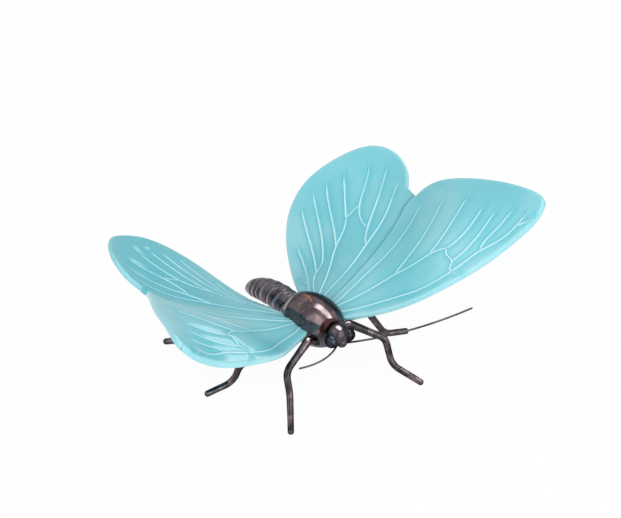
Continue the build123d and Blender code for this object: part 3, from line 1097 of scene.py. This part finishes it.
def hind_lobe(bm, layers):
    u = clustered(110, [], margin_rows / 90.0)
    v = clustered(100, [], margin_rows / 60.0)
    root = np.array([under_step[0], inner_hind[0]])
    spots = patch(under_step, inner_hind, root, outer_hind, u, v)
    flat, edge, step, vein, rim = measured(spots, margin_hind, hind_veins)
    height = sheet_height(flat)
    top = height - valley(vein) - rounding(edge, margin_round)
    bottom = height - sheet + rounding(edge, margin_round)
    outward = np.clip(flat[:, 0] / (step_shadow_span * wing_span), 0, 1)
    # darker beside the step, more towards the notch: partly pooled glaze, partly a painted shadow
    step_pool_shadow = np.exp(-(step / step_shadow_width) ** 2) * (0.5 + 0.5 * outward)
    marks = {"crest": 0 * edge, "pool": pooled(vein), "rim": rim, "step_pool_shadow": step_pool_shadow}
    lobe(bm, layers, spots, top, bottom, marks)


def wing_mesh():
    bm = bmesh.new()
    layers = {name: bm.verts.layers.float.new(name) for name in ("crest", "pool", "rim", "step_pool_shadow")}
    fore_lobe(bm, layers)
    hind_lobe(bm, layers)
    for veins, lift in ((fore_veins, wing_step), (hind_veins, 0.0)):
        for points in veins:
            ridge(bm, layers, points, veins, lift)
    return bm


print("a wing has two lobes and", len(fore_veins) + len(hind_veins), "veins")

# %% [markdown]
# ## Turquoise glaze
# A gloss glaze over white clay: turquoise where it lies thick, nearly white where it runs thin over
# a crest or the margin, and deeper where it pools beside a vein. Beside the forewing's step it is
# darker still, partly pooled glaze and partly a painted shadow of the step, and the rear of the
# left wing is darkened with painted shade. Slow noise makes it a little uneven, as a hand-dipped
# glaze is. Each tone is laid over the last one through a mask.
# The shine is a clear coat, and the thin glaze on crests and margin has the most of it.

# %% Glaze
glaze, tree, shader = new_material("turquoise glaze")
place = tree.nodes.new("ShaderNodeTexCoord")
apart = tree.nodes.new("ShaderNodeSeparateXYZ")
tree.links.new(place.outputs["Object"], apart.inputs[0])


def part_of(mask, share):
    return maths(tree, "MULTIPLY", mask, share)


leftward = ramp(tree, part_of(apart.outputs["X"], -1.0), 0.012, 0.05)
# painted shade: the rear of the left wing is darker
left_rear_shade = part_of(leftward, ramp(tree, apart.outputs["Y"], -0.012, 0.022))
crest, rim = mark(tree, "crest"), mark(tree, "rim")
cloud = ramp(tree, noise(tree, place.outputs["Object"], 32.0, 3.0), 0.32, 0.68)
colour = blend(tree, cloud, srgb(119, 195, 206), srgb(145, 203, 211))
tones = (
    # painted shade on the rear of the left wing
    (part_of(left_rear_shade, 0.8), (88, 184, 197)),
    (part_of(mark(tree, "pool"), 0.55), (80, 184, 199)),
    # beside the step: partly pooled glaze, partly a painted shadow of the step
    (mark(tree, "step_pool_shadow"), (44, 154, 176)),
    (part_of(rim, 0.35), (176, 222, 228)),
    (part_of(ramp(tree, crest, 0.35, 1.0), 0.75), (212, 232, 235)),
)
for mask, tone in tones:
    colour = blend(tree, mask, colour, srgb(*tone))
tree.links.new(colour, shader.inputs["Base Color"])
shader.inputs["Roughness"].default_value = 0.34
shader.inputs["Specular IOR Level"].default_value = 0.02
glossy = maths(tree, "ADD", part_of(crest, 0.4), 0.3)
glossy = maths(tree, "ADD", part_of(rim, 0.3), glossy)
tree.links.new(glossy, shader.inputs["Coat Weight"])
shader.inputs["Coat Roughness"].default_value = 0.12
print("glaze of", len(tones) + 1, "tones")

# %% [markdown]
# ## Both wings
# The two wings are pressed in mirrored moulds. So the left one is the same mesh, mirrored, and its
# faces are turned back outwards, because mirroring turns them inside out.

# %% Wings
finish_piece(wing_mesh(), "right_wing", glaze, "wing_right")
bm = wing_mesh()
bmesh.ops.scale(bm, vec=(-1, 1, 1), verts=bm.verts)
bmesh.ops.reverse_faces(bm, faces=bm.faces)
finish_piece(bm, "left_wing", glaze, "wing_left")

# %% [markdown]
# ## Base and screw
# The base casting and its screw are mostly hidden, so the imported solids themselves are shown, with
# the metal finishes.

# %% Base and screw finishes
for node, material in (("thorax_base", base_metal), ("dome_screw", screw_metal)):
    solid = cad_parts[node]
    solid.data.materials.clear()
    solid.data.materials.append(material)
    print(node, "finished with", material.name)

# %% [markdown]
# ## Studio
# The ornament stands on a white table in an even white surround, as in a product photograph. Both
# look plain white to the eye and in reflections. The surround lights the piece with less than that,
# so that the shadows under the wings and the body stay.

# %% Floor and surround
table_size = 6.0
table_white = 0.92
table_glow = 0.95
surround_light = 0.55
bpy.ops.mesh.primitive_plane_add(size=table_size, location=(0, 0, 0))
floor = bpy.context.object
floor.name = "table"
white, tree, shader = new_material("white table")
shader.inputs["Base Color"].default_value = (table_white, table_white, table_white, 1)
shader.inputs["Roughness"].default_value = 0.9
shader.inputs["Specular IOR Level"].default_value = 0.0
glow = tree.nodes.new("ShaderNodeEmission")
glow.inputs["Strength"].default_value = 1.0


def seen_rays(tree):
    rays = tree.nodes.new("ShaderNodeLightPath")
    seen = maths(tree, "MAXIMUM", rays.outputs["Is Camera Ray"], rays.outputs["Is Glossy Ray"])
    return maths(tree, "MAXIMUM", seen, rays.outputs["Is Transmission Ray"])


mix = tree.nodes.new("ShaderNodeMixShader")
tree.links.new(maths(tree, "MULTIPLY", seen_rays(tree), table_glow), mix.inputs["Fac"])
tree.links.new(shader.outputs["BSDF"], mix.inputs[1])
tree.links.new(glow.outputs["Emission"], mix.inputs[2])
tree.links.new(mix.outputs["Shader"], tree.nodes["Material Output"].inputs["Surface"])
floor.data.materials.append(white)
floor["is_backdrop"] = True

world = bpy.data.worlds.new("studio")
bpy.context.scene.world = world
world.use_nodes = True
tree = world.node_tree
sky = tree.nodes["Background"]
sky.inputs["Color"].default_value = (1, 1, 1, 1)
seen_extra = maths(tree, "MULTIPLY", seen_rays(tree), 1 - surround_light)
strength = maths(tree, "ADD", seen_extra, surround_light)
tree.links.new(strength, sky.inputs["Strength"])
print("white table and surround")

# %% [markdown]
# ## Lamps
# Two very broad soft lights, from the left and from the front, light the whole piece. A long softbox
# overhead draws the bright line on the polished dome, and a small low window at the rear right draws
# the shine on the left wing. These two show only in reflections, so that they add no shadows.

# %% Lamps
def lamp(name, place, aim, along, wide, long, power):
    light = bpy.data.lights.new(name, "AREA")
    light.shape = "RECTANGLE"
    light.size = wide
    light.size_y = long
    light.energy = power
    holder = bpy.data.objects.new(name, light)
    holder.location = place
    facing = (Vector(place) - Vector(aim)).normalized()
    length = Vector(along)
    length = (length - facing * length.dot(facing)).normalized()
    holder.rotation_euler = Matrix((length.cross(facing), length, facing)).transposed().to_euler()
    bpy.context.scene.collection.objects.link(holder)
    print(name, "at", place, "of", power, "W")
    return holder


softbox = lamp("overhead", (0.25, 0.18, 0.92), (0, 0, 0.03), (0.15, -0.95, 0.2), 0.42, 1.1, 9.5)
softbox.visible_diffuse = False
window = lamp("rear right", (1.29, 0.63, 0.225), (0, 0, 0.05), (0, 0, 1), 0.45, 0.18, 1.6)
window.visible_diffuse = False
lamp("left", (-1.32, 0.0, 1.18), (0, 0, 0.03), (0, 0, 1), 1.8, 1.8, 13.5)
lamp("front", (0.17, -1.48, 0.90), (0, 0, 0.03), (0, 0, 1), 1.8, 1.8, 23.0)

# %% [markdown]
# ## Camera
# The photograph looks down from the front left with a long lens. The lens is found from its length
# in pixels and the photograph's width.

# %% Camera
sensor_width = 36.0
lens_pixels = 2000.0
photo_width = 621.0
camera = bpy.data.objects.new("camera", bpy.data.cameras.new("camera"))
bpy.context.scene.collection.objects.link(camera)
camera.data.sensor_fit = "HORIZONTAL"
camera.data.sensor_width = sensor_width
camera.data.lens = sensor_width * lens_pixels / photo_width
camera.location = (-0.36616, -0.57518, 0.56262)
look = Vector((0.4326, 0.6738, -0.5990))
camera.rotation_euler = look.to_track_quat("-Z", "Y").to_euler()
bpy.context.scene.camera = camera
bpy.context.scene.view_settings.view_transform = "Standard"
print("camera lens", round(camera.data.lens, 2))

low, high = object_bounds()
sizes = {"solid": [list(solid_low), list(solid_high)], "visual": [list(low), list(high)]}
print("visual box", tuple(low), tuple(high))
